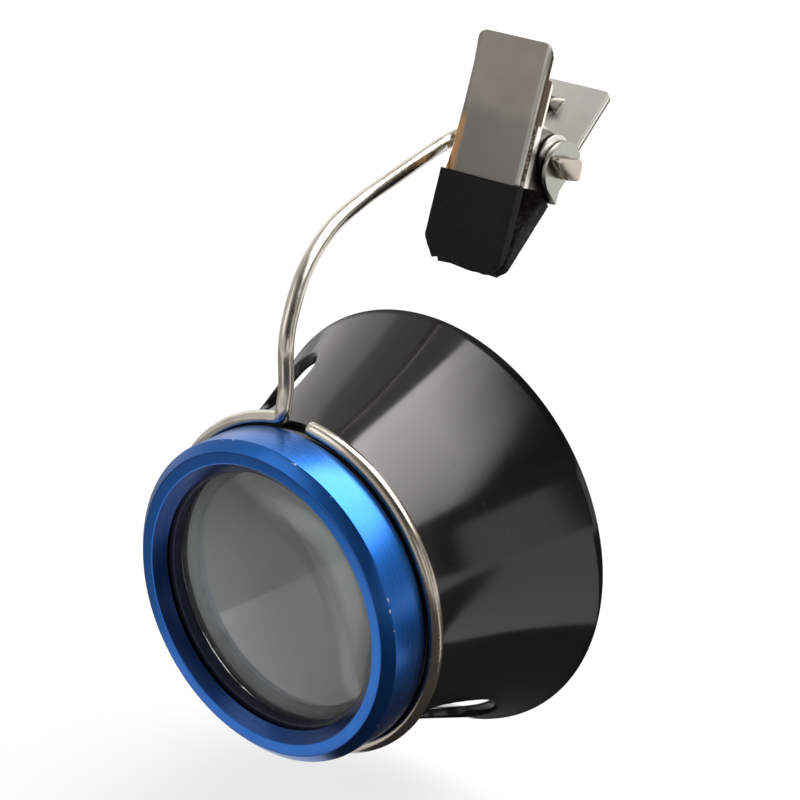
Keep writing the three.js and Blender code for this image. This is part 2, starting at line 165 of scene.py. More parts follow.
# Clip
SHEET = 0.5 * MM
PIN_TO_TIP = 14.45 * MM
FRONT_SPLAY = radians(17.46)
REAR_SPLAY = radians(12.54)
PIN_BEARING = radians(39.3)
FRONT_WIDTH = 9.7 * MM
FRONT_HANDLE = 11.23 * MM
FRONT_JAW = 9.4 * MM
FRONT_EAR_DROP = 3.67 * MM
FRONT_EAR_RADIUS = 2.3 * MM
FLANGE_DEPTH = 1.75 * MM
FLANGE_TOP = 7.6 * MM
EAR_SHOULDER = 3 * MM
FRONT_CORNER = 1.3 * MM
REAR_WIDTH = 10.1 * MM
REAR_CORNER = 0.9 * MM
REAR_EAR_WIDTH = 12.1 * MM
REAR_HANDLE = 10.68 * MM
REAR_JAW = 9.7 * MM
REAR_EAR_RADIUS = 3 * MM
REAR_EAR_SAG = 0.35 * MM
REAR_EAR_SETBACK = 1.37 * MM
REAR_EAR_BOTTOM = 3.7 * MM
JAW_WIDTH = 9.1 * MM
PIN_GAP = 0.15 * MM
PIN_BORE = WIRE_RADIUS + PIN_GAP
BEND_RADIUS = 0.5 * MM
BEND_LENGTH = pi / 2 * BEND_RADIUS
SHEET_EDGE = 0.07 * MM
HANDLE_FOLD_SHARE = 0.35
EAR_SWELL = 0.14 * MM
EAR_FOOT_SWELL = 0.36 * MM
FRONT_DEPTH = PIN_TO_TIP * sin(FRONT_SPLAY)
FRONT_TIP = PIN_TO_TIP * cos(FRONT_SPLAY)
REAR_DEPTH = PIN_TO_TIP * sin(REAR_SPLAY)
REAR_TIP = PIN_TO_TIP * cos(REAR_SPLAY)
FRONT_PITCH = PIN_BEARING - FRONT_SPLAY
REAR_PITCH = PIN_BEARING + REAR_SPLAY

# Louvre in the rear handle
HOOD_WIDTH = 2.5 * MM
HOOD_LENGTH = 1.8 * MM
HOOD_RISE = 1.5 * MM
HOOD_MOUTH = 6.8 * MM
HOOD_OFFSET = -1.1 * MM
HOOD_SHARE = 0.7
SLOT_LENGTH = 0.9 * MM

# Spring
SPRING_WIRE = 0.7 * MM
SPRING_RADIUS = 1.75 * MM
SPRING_TURNS = 4
SPRING_LENGTH = 5.8 * MM
SPRING_FRONT_LEG = 7.6 * MM
SPRING_REAR_LEG = 7.2 * MM

# Flattened pin end and washers
HEAD_WIDTH = 5.2 * MM
HEAD_DROP = 2.3 * MM
HEAD_TILT = radians(17)
HEAD_THICKNESS = 0.9 * MM
HEAD_FILLET = 0.35 * MM
HEAD_SHARES = ((-0.46, -0.13), (0.4, -0.13), (0.5, 0.1), (0.5, 0.87), (0, 0.87), (-0.3, 0.3))
WASHER_GAP = 0.2 * MM

# Sleeves
SLEEVE_WALL = 0.45 * MM
SLEEVE_OVERHANG = 3.6 * MM
POCKET_GAP = 0.15 * MM
FRONT_SLEEVE_INNER = 0.25 * MM
SLEEVE_CORNER = 0.3 * MM
SLEEVE_ROUGHNESS = 0.12 * MM
LEFT_CUT_WIDTH = 1.5 * MM
LEFT_CUT_HEIGHT = 2 * MM
RIGHT_CUT_WIDTH = 0.8 * MM
RIGHT_CUT_HEIGHT = 1.2 * MM

# Smoothness
ROUND_SIDES = 192
WIRE_SIDES = 24
CUP_ROWS = 48
WINDOW_ROWS = 42
WINDOW_HALF = 12

# Studio
CAMERA_PLACE = (0.184836, -0.224262, 0.111270)
CAMERA_RIGHT = Vector((0.760, 0.650, -0.009))
CAMERA_BACK = Vector((0.599, -0.696, 0.397))
STUDIO_MIDDLE = Vector((0, -15, -15)) * MM
FLOOR_DROP = 6 * MM
FLOOR_HALF = 2
FLAG_DROP = 0.2 * MM
RIGHT_FLAG = (
    (0.005, -0.25), (0.35, -0.25), (0.35, -0.008), (0.038, -0.012),
    (0.038, 0), (0.35, 0.065), (0.35, 0.075), (0.005, 0.075),
)
LEFT_FLAG = ((-0.4, -0.25), (-0.035, -0.25), (-0.035, 0.3), (-0.4, 0.3))
KEY_WIDTH = 1.33
KEY_DEPTH = 1.2
KEY_CORNER_START = 0.41
KEY_CORNER_BEND = 0.655
FILL_SIDE = 0.48
FILL_DISTANCE = 0.9
FILL_TURN = radians(32)
FILL_RISE = radians(40)
WARM_WHITE = (1, 0.985, 0.96)
COOL_WHITE = (0.96, 0.98, 1)
ROOM_FILL = 0.37
ROOM_LEFT = 0.6
ROOM_SIDE = 1.15
ROOM_RIGHT = 0.12
ROOM_BEHIND = 0.35


# Node trees
class Tree:
    """Short calls for the nodes of a tree. A value is a number, a vector or the socket of another node."""

    def __init__(self, tree):
        self.nodes, self.links = tree.nodes, tree.links

    def connect(self, socket, value):
        if isinstance(value, bpy.types.NodeSocket):
            self.links.new(value, socket)
        else:
            socket.default_value = value

    def node(self, kind, inputs=None, **settings):
        made = self.nodes.new("ShaderNode" + kind)
        for key, value in settings.items():
            setattr(made, key, value)
        for key, value in (inputs or {}).items():
            self.connect(made.inputs[key], value)
        return made

    def maths(self, operation, *values):
        return self.node("Math", dict(enumerate(values)), operation=operation).outputs[0]

    def times(self, first, second):
        return self.maths("MULTIPLY", first, second)

    def spread(self, value, low, high, to_low=0.0, to_high=1.0, **settings):
        inputs = {"Value": value, "From Min": low, "From Max": high, "To Min": to_low, "To Max": to_high}
        return self.node("MapRange", inputs, **settings).outputs[0]

    def split(self, vector):
        return self.node("SeparateXYZ", {0: vector}).outputs

    def mix(self, share, first, second):
        return self.node("MixShader", {0: share, 1: first, 2: second}).outputs[0]


class Finish(Tree):
    """A material, with short calls for the textures that the finishes share."""

    def __init__(self, name, **settings):
        self.material = bpy.data.materials.new(name)
        self.material.use_nodes = True
        super().__init__(self.material.node_tree)
        self.shader = self.nodes["Principled BSDF"]
        self.place = self.node("TexCoord").outputs["Object"]
        for socket, value in settings.items():
            self.shader.inputs[socket.replace("_", " ")].default_value = value

    def stretched(self, scale, turn=(0, 0, 0)):
        inputs = {"Vector": self.place, "Scale": scale, "Rotation": turn}
        return self.node("Mapping", inputs).outputs[0]

    def noise(self, scale, detail=2, rough=0.5, vector=None):
        inputs = {"Vector": vector or self.place, "Scale": scale, "Detail": detail, "Roughness": rough}
        return self.node("TexNoise", inputs).outputs["Fac"]

    def colours(self, factor, first, second):
        made = self.node("Mix", {0: factor}, data_type="RGBA")
        for socket, value in zip(made.inputs[6:8], (first, second)):
            self.connect(socket, (*value, 1) if isinstance(value, tuple) else value)
        return made.outputs[2]

    def within(self, value, low, high, soft):
        rise = self.spread(value, low - soft, low + soft)
        return self.times(rise, self.spread(value, high - soft, high + soft, 1, 0))

    def plate(self, pitch):
        """Places across, through and up a plate, from the pin."""
        turned = -(Matrix.Rotation(pitch, 3, "X") @ PIN)
        inputs = {"Vector": self.place, "Location": turned, "Rotation": (pitch, 0, 0)}
        return self.split(self.node("Mapping", inputs).outputs[0])

    def set(self, socket, value):
        self.links.new(value, self.shader.inputs[socket])

    def bump(self, height, strength, distance, **under):
        inputs = {"Height": height, "Strength": strength, "Distance": distance, **under}
        return self.node("Bump", inputs).outputs[0]


def axis_distance(look):
    """The distance from the optical axis and the depth along it, for turned parts."""
    across, depth, height = look.split(look.place)
    across = look.maths("POWER", look.maths("SUBTRACT", across, AXIS_ACROSS), 2)
    height = look.maths("POWER", look.maths("SUBTRACT", height, AXIS_HEIGHT), 2)
    return look.maths("SQRT", look.maths("ADD", across, height)), depth


def black_plastic():
    look = Finish("black_plastic", IOR=1.5)
    cloud = look.noise(90, 3)
    specks = look.spread(look.noise(1900, 1), 0.78, 0.83)
    look.set("Base Color", look.colours(specks, (0.0045, 0.0045, 0.005), (0.05, 0.05, 0.048)))
    scratches = look.noise(420, 2, 0.6, look.stretched((1, 9, 1), (0.3, 0.2, 0.5)))
    streaks = look.spread(scratches, 0.7, 0.78, 0, 0.16)
    smear = look.spread(cloud, 0.35, 0.7, 0.1, 0.16)
    look.set("Roughness", look.maths("ADD", smear, streaks))
    wavy = look.bump(look.noise(45, 1), 0.12, 0.3 * MM)
    look.set("Normal", look.bump(look.noise(1300, 2), 0.02, 0.02 * MM, Normal=wavy))
    return look.material


def blue_anodised():
    look = Finish(
        "blue_anodised", Metallic=1, Anisotropic=0.55, Coat_Weight=0.38, Coat_Roughness=0.24, Coat_IOR=1.6,
    )
    radius, depth = axis_distance(look)
    rings = look.node("CombineXYZ", {0: radius, 1: depth}).outputs[0]
    grooves = look.noise(5200, 2, 0.6, rings)
    tone = look.spread(look.noise(160, 2), 0.3, 0.7)
    tone = look.colours(tone, (0.005, 0.115, 0.47), (0.008, 0.145, 0.54))
    turned = look.spread(look.noise(9000, 1, 0.5, rings), 0.5, 0.6)
    border = look.within(radius, FACE_OUTER - 0.35 * MM, FACE_OUTER, 0.08 * MM)
    tone = look.colours(look.times(turned, border), tone, (0.004, 0.06, 0.28))
    # Painted shade: the inner cone down to the lens is a darker navy.
    inner = look.spread(radius, FACE_INNER, FACE_INNER - 0.08 * MM)
    tone = look.colours(inner, tone, (0.002, 0.036, 0.17))
    edge = look.within(radius, BEZEL_RADIUS - 0.12 * MM, BEZEL_RADIUS, 0.02 * MM)
    edge = look.times(edge, look.spread(depth, FRONT_EDGE + 0.15 * MM, FRONT_EDGE))
    nicks = look.times(look.spread(look.noise(1500, 1), 0.68, 0.72), edge)
    look.set("Base Color", look.colours(nicks, tone, (0.8, 0.82, 0.88)))
    look.set("Roughness", look.spread(grooves, 0.3, 0.7, 0.24, 0.36))
    look.set("Normal", look.bump(grooves, 0.12, 0.012 * MM))
    look.set("Tangent", look.node("Tangent", direction_type="RADIAL", axis="Y").outputs[0])
    return look.material


def lens_glass():
    look = Finish("lens_glass", IOR=1.52, Transmission_Weight=0.76, Coat_Weight=0.2)
    film = look.spread(look.noise(110, 4, 0.6), 0.35, 0.7)
    specks = look.spread(look.noise(2300, 1), 0.72, 0.78)
    dust = look.maths("MAXIMUM", look.times(film, 0.4), specks)
    # Painted shade: the glass is tinted darker towards its left side.
    clear = look.spread(look.split(look.place)[0], -9 * MM, 2 * MM)
    tint = look.colours(clear, (0.3, 0.34, 0.325), (0.39, 0.43, 0.415))
    lines = look.noise(1, 2, 0.6, look.stretched((500, 200, 2600), (0, 0.7, 0)))
    lines = look.times(look.spread(lines, 0.62, 0.66), film)
    tint = look.colours(look.times(lines, 0.5), tint, (0.5, 0.55, 0.53))
    look.set("Base Color", look.colours(dust, tint, (0.42, 0.45, 0.43)))
    look.set("Roughness", look.spread(film, 0, 1, 0.05, 0.13))
    return look.material


def retainer_black():
    look = Finish("retainer_black")
    grain = look.noise(2400, 3)
    look.set("Base Color", look.colours(grain, (0.006, 0.010, 0.03), (0.012, 0.02, 0.05)))
    look.set("Roughness", look.spread(grain, 0.3, 0.7, 0.42, 0.6))
    look.set("Normal", look.bump(grain, 0.2, 0.02 * MM))
    return look.material


def bright_wire():
    look = Finish("bright_wire", Metallic=1)
    drawn = look.noise(900, 3, 0.6)
    stain = look.spread(look.noise(140, 3, 0.6), 0.45, 0.75)
    ear = REAR_EAR_WIDTH / 2
    head = look.spread(look.split(look.place)[0], ear, ear + 0.2 * MM)
    tone = look.colours(stain, (0.69, 0.65, 0.58), (0.48, 0.41, 0.33))
    look.set("Base Color", look.colours(head, tone, (0.52, 0.46, 0.39)))
    look.set("Roughness", look.spread(drawn, 0.3, 0.7, 0.18, 0.28))
    look.set("Normal", look.bump(drawn, 0.03, 0.01 * MM))
    return look.material


def satin_steel(name, light, dark, pitch):
    """A finish of its own for each plate, and the colour that the plate adds its marks to. Both plates are
    one steel: the front's darker colour is painted shade and the rear's lighter one is painted light.
    """
    look = Finish(name, Metallic=1, Anisotropic=0.3)
    along = (3200, 300 * cos(pitch), 300)
    brush = look.noise(1, 3, 0.6, look.stretched(along, (pitch, 0, 0)))
    cloud = look.spread(look.noise(260, 3), 0.3, 0.75)
    look.set("Roughness", look.spread(brush, 0.25, 0.75, 0.26, 0.42))
    look.set("Normal", look.bump(brush, 0.12, 0.01 * MM))
    return look, look.colours(cloud, light, dark)


def front_steel():
    """Painted shade below the flanges, a painted highlight along the right bend, stained along the left one,
    and painted shade and highlights on the flanges and on the ear bends.
    """
    # The front plate's dark colour is painted shade.
    look, tone = satin_steel("front_steel", (0.3, 0.272, 0.245), (0.255, 0.232, 0.208), FRONT_PITCH)
    across, depth, height = look.plate(FRONT_PITCH)
    fine = 0.1 * MM
    behind = look.maths("ADD", depth, FRONT_DEPTH)
    round_bend = look.maths("ADD", across, behind)
    # Painted shade on the plate below the ear shoulder.
    lower_shade = look.spread(height, EAR_SHOULDER - 4 * fine, EAR_SHOULDER + 10 * fine, 1, 0)
    tone = look.colours(lower_shade, tone, (0.21, 0.198, 0.182))
    scratch = look.noise(1, 1, 0.5, look.stretched((420, 4200, 4200), (0.4, 0.5, 0.35)))
    tone = look.colours(look.spread(scratch, 0.76, 0.8, 0, 0.3), tone, (0.6, 0.58, 0.54))
    grain = look.spread(look.noise(700, 3), 0.25, 0.5)
    strip = look.times(look.within(height, -5 * MM, 2.2 * MM, 0.5 * MM), grain)
    left = look.spread(across, -4.15 * MM, -3.45 * MM, 1, 0)
    tone = look.colours(look.times(strip, left), tone, (0.5, 0.27, 0.12))
    # Painted highlight along the right bend.
    glint = look.within(round_bend, 4.5 * MM, 4.9 * MM, 3 * fine)
    tone = look.colours(glint, tone, (0.92, 0.9, 0.85))
    # Painted shade on the flange's outer face and a painted highlight on its edge.
    edge = look.spread(behind, FLANGE_DEPTH - 4 * fine, FLANGE_DEPTH - 3 * fine)
    flange = look.colours(edge, (0.1, 0.075, 0.05), (0.95, 0.9, 0.8))
    # Painted shade in the crease before the ear, broken up by grain, and a painted highlight on the ear's
    # bend.
    ear = look.within(round_bend, 5.75 * MM, 6.5 * MM, fine)
    crease = look.spread(look.noise(2600, 2), 0.45, 0.6)
    crease_shade = look.colours(crease, (0.06, 0.045, 0.035), (0.3, 0.26, 0.22))
    ear = look.colours(ear, crease_shade, (0.95, 0.92, 0.86))
    face = look.spread(round_bend, 6.5 * MM, 6.8 * MM)
    ear = look.colours(face, ear, (0.2, 0.19, 0.17))
    at_ear = look.spread(height, EAR_SHOULDER - 4 * fine, EAR_SHOULDER - fine, 1, 0)
    side = look.colours(at_ear, flange, ear)
    outside = look.spread(round_bend, 4.95 * MM, 5.15 * MM)
    look.set("Base Color", look.colours(outside, tone, side))
    return look.material


def rear_steel():
    """Lighter on the handle as painted light, with a dark cut edge and a painted highlight just inside it, a
    louvre and greenish ears darkened as painted shade, and near black painted shade on the inner side below
    the ears.
    """
    # The rear plate's light colour is painted light.
    look, tone = satin_steel("rear_steel", (0.8, 0.785, 0.745), (0.7, 0.685, 0.65), REAR_PITCH)
    across, depth, height = look.plate(REAR_PITCH)
    fine = 0.1 * MM
    handle = look.spread(height, 3 * MM, 3.2 * MM)
    edge = REAR_WIDTH / 2
    # Painted highlight: a near white line just inside the handle's edge.
    line = look.within(across, edge - 3.4 * fine, edge - 1.2 * fine, fine / 2)
    tone = look.colours(look.times(handle, line), tone, (0.97, 0.95, 0.9))
    cut = look.spread(across, edge - 1.2 * fine, edge - 0.8 * fine)
    cut = look.times(cut, look.spread(depth, REAR_DEPTH - 3 * fine, REAR_DEPTH - 2 * fine))
    tone = look.colours(look.times(handle, cut), tone, (0.1, 0.085, 0.07))
    # Painted shade on the raised louvre: dark brown, lighter at its closed end.
    inner = REAR_DEPTH - SHEET
    raised = look.spread(depth, inner - 2 * fine, inner - fine, 1, 0)
    raised = look.times(raised, look.within(height, HOOD_MOUTH - fine, 9 * MM, fine))
    end = HOOD_OFFSET + HOOD_WIDTH / 2
    rim = look.spread(across, end - 5 * fine, end - 3 * fine)
    louvre_shade = look.colours(rim, (0.055, 0.046, 0.036), (0.3, 0.28, 0.25))
    tone = look.colours(raised, tone, louvre_shade)
    # Painted shade: the ears are a darker greenish grey than the handle.
    out = look.maths("ABSOLUTE", across)
    ears = look.times(look.spread(out, 5.5 * MM, 5.95 * MM), look.spread(height, 3 * MM, 2.8 * MM))
    tone = look.colours(ears, tone, (0.42, 0.425, 0.375))
    # Painted shade: near black on the plate's inner side below the ears.
    inside = look.times(look.spread(height, -1 * MM, -1.4 * MM), look.spread(out, 5.6 * MM, 5.5 * MM))
    inside = look.times(inside, look.spread(depth, inner + 2 * fine, inner + fine))
    tone = look.colours(inside, tone, (0.03, 0.027, 0.024))
    look.set("Base Color", tone)
    return look.material


def spring_steel():
    look = Finish("spring_steel", Metallic=1)
    drawn = look.noise(1400, 2)
    look.set("Base Color", look.colours(drawn, (0.5, 0.47, 0.42), (0.66, 0.62, 0.56)))
    look.set("Roughness", look.spread(drawn, 0.3, 0.7, 0.18, 0.3))
    return look.material


def jaw_rubber(name, dust):
    look = Finish(name, Specular_IOR_Level=0.25)
    grain = look.noise(1500, 4, 0.7)
    chalk = look.times(look.spread(grain, 0.5, 0.72), dust)
    look.set("Base Color", look.colours(chalk, (0.004, 0.0036, 0.0034), (0.055, 0.05, 0.044)))
    look.set("Roughness", look.spread(grain, 0.3, 0.7, 0.55, 0.85))
    look.set("Normal", look.bump(grain, 0.5, 0.06 * MM))
    return look.material


# Mesh helpers
def placed(name, data):
    made = bpy.data.objects.new(name, data)
    bpy.context.scene.collection.objects.link(made)
    return made


def as_object(name, points, faces, material, sharp=35, place=Matrix()):
    mesh = bpy.data.meshes.new(name)
    mesh.from_pydata([tuple(place @ Vector(point)) for point in points], [], faces)
    mesh.validate()
    mesh.shade_smooth()
    mesh.set_sharp_from_angle(angle=radians(sharp))
    mesh.materials.append(material)
    return placed(name, mesh)


def modify(piece, kind, **settings):
    """Adds a modifier and turns it into the piece's mesh."""
    made = piece.modifiers.new(kind, kind)
    for key, value in settings.items():
        setattr(made, key, value)
    graph = bpy.context.evaluated_depsgraph_get()
    old = piece.data
    piece.data = bpy.data.meshes.new_from_object(piece.evaluated_get(graph))
    piece.modifiers.clear()
    bpy.data.meshes.remove(old)


def stand_in(piece, node):
    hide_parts(node)
    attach(piece, frame["nodes"][node]["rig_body"])


def bezier(points, share):
    while len(points) > 1:
        points = [point.lerp(after, share) for point, after in zip(points, points[1:])]
    return points[0]


def curve(points, steps):
    """The curve with these control points, up to the step before its end."""
    return [bezier(points, k / steps) for k in range(steps)]


def filleted(corners, steps=4):
    """A closed outline of (across, along, fillet) corners, with each corner rounded by its fillet."""
    outline = []
    for i, (across, along, fillet) in enumerate(corners):
        here = Vector((across, along))
        before = Vector(corners[i - 1][:2]) - here
        after = Vector(corners[(i + 1) % len(corners)][:2]) - here
        reach = min(fillet, before.length / 2.02, after.length / 2.02)
        if not reach:
            outline.append(here)
            continue
        start = here + before.normalized() * reach
        end = here + after.normalized() * reach
        outline += [bezier((start, here, end), k / steps) for k in range(steps + 1)]
    return outline


def rectangle(left, right, low, high, fillet):
    return filleted([(left, low, fillet), (right, low, fillet), (right, high, fillet), (left, high, fillet)])


def round_axis(radius, depth, turn):
    """A point at this radius from the Y axis, turned from above it towards +X."""
    return Vector((radius * sin(turn), depth, radius * cos(turn)))


def circle(radius, depth, sides):
    return [round_axis(radius, depth, 2 * pi * k / sides) for k in range(sides)]


def bands(rows, first=0):
    """Faces from each row of point numbers to the next. The rows are rings, or strips if first is 1."""
    return [
        tuple(dict.fromkeys((row[k - 1], row[k], following[k], following[k - 1])))
        for row, following in zip(rows, rows[1:])
        for k in range(first, len(row))
    ]


def skin(rings):
    """Closes rings of equal length into one skin with capped ends."""
    sides = len(rings[0])
    rows = [range(i * sides, (i + 1) * sides) for i in range(len(rings))]
    caps = [tuple(reversed(rows[0])), tuple(rows[-1])]
    return [point for ring in rings for point in ring], bands(rows) + caps


def revolved(name, outline, material, place, sides=ROUND_SIDES, closed=True):
    """Turns an outline of (radius, depth) points round the local Y axis, and moves it to its place."""
    points, rows = [], []
    for radius, depth in outline:
        first = len(points)
        on_axis = radius < MM * 1e-6
        points += [Vector((0, depth, 0))] if on_axis else circle(radius, depth, sides)
        rows.append([first] * sides if on_axis else range(first, first + sides))
    if closed:
        rows.append(rows[0])
    return as_object(name, points, bands(rows), material, place=place)


OPTICAL = Matrix.Translation((AXIS_ACROSS, FRONT_EDGE, AXIS_HEIGHT))


# Loupe pieces
def make_bezel():
    edge, fine = 0.12 * MM, 0.06 * MM
    outline = filleted([
        (LIP_INNER, LIP_BACK, fine),
        (FACE_INNER, -BEZEL_CHAMFER, edge),
        (FACE_OUTER, -BEZEL_CHAMFER, edge),
        (BEZEL_RADIUS, 0, edge),
        (BEZEL_RADIUS, SKIRT_END, 2 * edge),
        (SKIRT_BORE, SKIRT_END, fine),
        (SKIRT_BORE, LIP_BACK, fine),
    ])
    piece = revolved("bezel_blue_ring", outline, blue_anodised(), OPTICAL)
    stand_in(piece, "bezel_ring")


def lens_rise(radius):
    return sqrt(LENS_SPHERE ** 2 - radius ** 2) - (LENS_SPHERE - LENS_SAG)


RETAINER_FRONT = NECK_FRONT + SEAT_GAP
RETAINER_BACK = RETAINER_FRONT + RETAINER_HEIGHT
LENS_EDGE_FRONT = RETAINER_BACK + SEAT_GAP + lens_rise(RETAINER_INNER)
LENS_EDGE_BACK = LENS_EDGE_FRONT + LENS_EDGE
SEAT_BORE = NECK_BORE - SEAT_LEDGE
SEAT_PLANE = LENS_EDGE_BACK + SEAT_GAP + lens_rise(SEAT_BORE)


def make_lens():
    steps, bevel = 28, 0.2 * MM
    rim = LENS_RADIUS - bevel
    radii = [rim * i / steps for i in range(steps + 1)]
    front = [(radius, LENS_EDGE_FRONT - lens_rise(radius)) for radius in radii]
    back = [(radius, LENS_EDGE_BACK + lens_rise(radius)) for radius in reversed(radii)]
    edge = [(LENS_RADIUS, LENS_EDGE_FRONT + bevel), (LENS_RADIUS, LENS_EDGE_BACK - bevel)]
    piece = revolved("lens_glass", front + edge + back, lens_glass(), OPTICAL, closed=False)
    stand_in(piece, "lens")


def make_retainer():
    outline = rectangle(RETAINER_INNER, NECK_BORE - SEAT_GAP, RETAINER_FRONT, RETAINER_BACK, 0.1 * MM)
    piece = revolved("lens_retainer", outline, retainer_black(), OPTICAL)
    stand_in(piece, "lens_retaining_ring")


def flare_radius(depth):
    share = min(max((depth - FLARE_START) / CUP_LENGTH, 0), 1)
    return FLARE_NECK + (RIM_RADIUS - FLARE_NECK) * share ** FLARE_POWER


def vent_edge(across, along):
    """The point of the vent's oval outline in the direction of (across, along) from its middle."""
    half, straight = VENT_WIDTH / 2, (VENT_LENGTH - VENT_WIDTH) / 2
    slope = along / across if across else inf
    if abs(slope) * half <= straight:
        return Vector((copysign(half, across), slope * copysign(half, across)))
    direction = Vector((across, along)).normalized()
    centre = copysign(straight, along)
    middle = direction.y * centre
    reach = middle + sqrt(middle ** 2 - centre ** 2 + half ** 2)
    return direction * reach


def make_eyecup():
    """A closed skin of rows round the axis. Each vent is a window in it, filled by rings round the oval."""
    fine = 0.12 * MM
    length = CUP_LENGTH - RIM_FILLET - fine
    depths = [FLARE_START + fine + length * i / CUP_ROWS for i in range(CUP_ROWS + 1)]
    outer = [(flare_radius(depth), depth) for depth in depths]
    inner = [(flare_radius(depth) - CUP_WALL, depth) for depth in reversed(depths)]
    rim = filleted([
        (RIM_RADIUS, RIM_PLANE - RIM_FILLET, 0),
        (RIM_RADIUS, RIM_PLANE, RIM_FILLET),
        (RIM_RADIUS - CUP_WALL, RIM_PLANE, RIM_FILLET),
        (RIM_RADIUS - CUP_WALL, RIM_PLANE - RIM_FILLET, 0),
    ])[1:-1]
    groove = SKIRT_END + RING_CLEAR
    neck = filleted([
        (FLARE_NECK - CUP_WALL, FLARE_START, 0),
        (SEAT_BORE, SEAT_PLANE, fine),
        (NECK_BORE, SEAT_PLANE, 0),
        (NECK_BORE, NECK_FRONT, fine),
        (NECK_OUTER, NECK_FRONT, fine),
        (NECK_OUTER, groove, 0),
        (GROOVE_RADIUS, groove, fine),
        (GROOVE_RADIUS, FLARE_START, 0),
        (FLARE_NECK - fine, FLARE_START, fine / 2),
    ])
    profile = outer + rim + inner + neck
    last_inner = len(outer + rim) + CUP_ROWS
    windows = [round(angle / (2 * pi) * ROUND_SIDES) for angle in VENT_ANGLES]

    def at(row, column):
        return row % len(profile) * ROUND_SIDES + column % ROUND_SIDES

    def in_window(row, column):
        near = any((column - middle + WINDOW_HALF) % ROUND_SIDES < 2 * WINDOW_HALF for middle in windows)
        return near and (row < WINDOW_ROWS or last_inner - WINDOW_ROWS <= row < last_inner)

    points = [point for radius, depth in profile for point in circle(radius, depth, ROUND_SIDES)]
    faces = [
        (at(row, column), at(row, column + 1), at(row + 1, column + 1), at(row + 1, column))
        for row in range(len(profile))
        for column in range(ROUND_SIDES)
        if not in_window(row, column)
    ]
    for middle in windows:
        add_vent(points, faces, at, middle, last_inner)
    piece = as_object("eyecup_shell", points, faces, black_plastic(), place=OPTICAL)
    stand_in(piece, "eyecup")


def add_vent(points, faces, at, middle, last_inner):
    """Fills the outer and the inner window of one vent and lines its wall, with rounded edges."""
    turn = 2 * pi * middle / ROUND_SIDES
    outward, sideways = round_axis(1, 0, turn), round_axis(1, 0, turn + pi / 2)
    centre = FLARE_START + CUP_LENGTH * VENT_SHARE
    left, right = middle - WINDOW_HALF, middle + WINDOW_HALF
    window = [(0, column) for column in range(left, right)]
    window += [(row, right) for row in range(WINDOW_ROWS)]
    window += [(WINDOW_ROWS, column) for column in range(right, left, -1)]
    window += [(row, left) for row in range(WINDOW_ROWS, 0, -1)]
    stations = [(share, 0) for share in (0.3, 0.55, 0.75, 0.9)]
    stations += [(1, radians(angle)) for angle in (0, 25, 50, 75, 90)]
    skins = []
    for wall, side in ((0, -1), (CUP_WALL, 1)):
        start = [at(last_inner - row if wall else row, column) for row, column in window]
        edges = [Vector((points[index].dot(sideways), points[index].y - centre)) for index in start]
        oval = [vent_edge(*edge) for edge in edges]
        rings = [start]
        for share, angle in stations:
            rings.append(range(len(points), len(points) + len(start)))
            for edge, inmost in zip(edges, oval):
                away = inmost.normalized() * VENT_FILLET * (1 - sin(angle))
                spot = edge.lerp(inmost + away, share)
                radius = flare_radius(centre + spot.y) - wall
                height = sqrt(radius ** 2 - spot.x ** 2) + side * VENT_FILLET * (1 - cos(angle))
                points.append(sideways * spot.x + outward * height + Vector((0, centre + spot.y, 0)))
        skins.append(rings)
    outside, inside = skins
    faces += bands(outside + inside[::-1])


# Wire: the same route as the solid, swept with a fine section
def catmull_rom(knots, steps):
    """A centripetal curve through the knots."""
    ends = [2 * knots[0] - knots[1], *knots, 2 * knots[-1] - knots[-2]]
    route = []
    for a, b, c, d in zip(ends, ends[1:], ends[2:], ends[3:]):
        ta, tb, tc = ((q - p).length ** 0.5 for p, q in ((a, b), (b, c), (c, d)))
        leave = ((b - a) / ta - (c - a) / (ta + tb) + (c - b) / tb) * tb
        arrive = ((c - b) / tb - (d - b) / (tb + tc) + (d - c) / tc) * tb
        route += curve((b, b + leave / 3, c - arrive / 3, c), steps)
    return route


def wire_route():
    """The middle line of the wire, from the ring's free end to the pin's end, about the ring's centre."""
    rise, shift = AXIS_DROP - RING_RADIUS, ARM_CLIP_OFFSET - ARM_OFFSET
    arm = [
        Vector((-ARM_OFFSET - shift * lean, RING_REACH * reach, RING_RADIUS + rise * height))
        for reach, height, lean in ARM_SHARES
    ]
    ring_end = 2 * pi - asin((ARM_OFFSET + RING_BEND) / RING_RADIUS)
    steps = 220
    turns = [RING_FREE_END + (ring_end - RING_FREE_END) * k / steps for k in range(steps)]
    stop = round_axis(RING_RADIUS, 0, ring_end)
    corner = Vector((-ARM_OFFSET, 0, stop.z + RING_BEND * tan(2 * pi - ring_end)))
    before_pin = Vector((-ARM_CLIP_OFFSET, RING_REACH - PIN_APPROACH, AXIS_DROP - PIN_RISE))
    pin_start = Vector((-ARM_CLIP_OFFSET + PIN_BEND, RING_REACH, AXIS_DROP))
    along_arm = before_pin + Vector((0, PIN_APPROACH * 2 / 3, 0))
    along_pin = pin_start - Vector((PIN_BEND * 2 / 3, 0, 0))
    pin_end = Vector((REAR_EAR_WIDTH / 2 - AXIS_ACROSS - SHEET, RING_REACH, AXIS_DROP))
    route = [round_axis(RING_RADIUS, 0, turn) for turn in turns]
    route += curve((stop, corner, arm[0]), 12) + catmull_rom([*arm, before_pin], 14)
    route += curve((before_pin, along_arm, along_pin, pin_start), 12)
    return route + curve((pin_start, pin_end), 8) + [pin_end]


